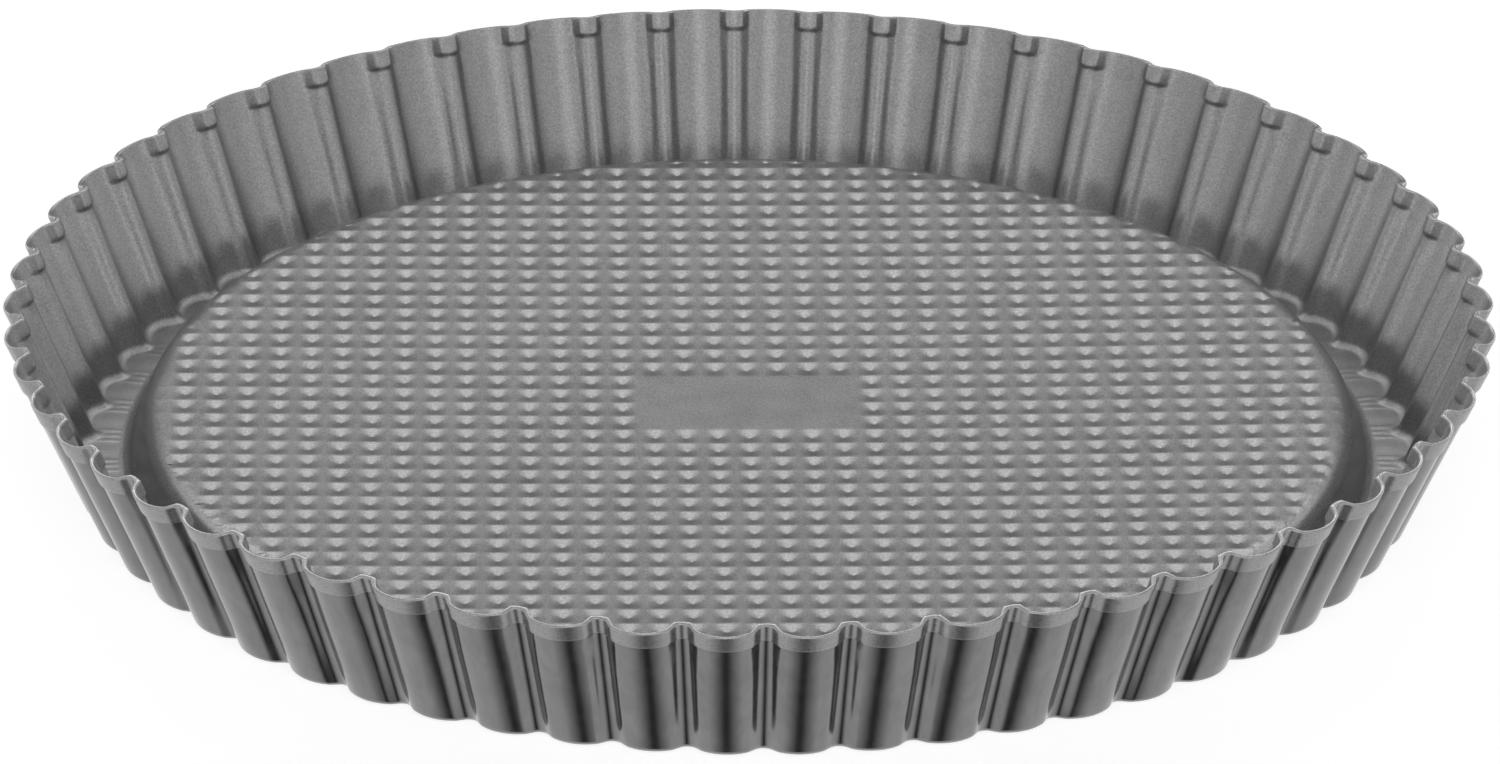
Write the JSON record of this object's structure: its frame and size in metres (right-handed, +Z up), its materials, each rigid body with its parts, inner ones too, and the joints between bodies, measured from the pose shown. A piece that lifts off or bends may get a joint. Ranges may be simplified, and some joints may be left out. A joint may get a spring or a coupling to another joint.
{
  "type": "sponge flan tin",
  "caption": "Round flan tin with a fluted, flared wall, a folded hem round its rim, and a raised plateau inside a channel that forms the cake's border.",
  "frame": {"origin": "centre of the circle that the tin stands on, at the height of the surface under it", "axes": "+Z up out of the dish, a rib of the wall at -Y, the rows of the plateau's pattern along X"},
  "size_m": [0.28, 0.2796, 0.0317],
  "materials": {
    "nonstick_coating": "matte grey non-stick coating on thin steel sheet, finely speckled inside, darker and glossier outside",
    "hem_coating": "the inner grey coating, shown outside where the sheet's edge is folded over"
  },
  "bodies": {
    "root": {"pressed_body": "nonstick_coating", "rim_hem": "hem_coating"}
  },
  "joints": []
}
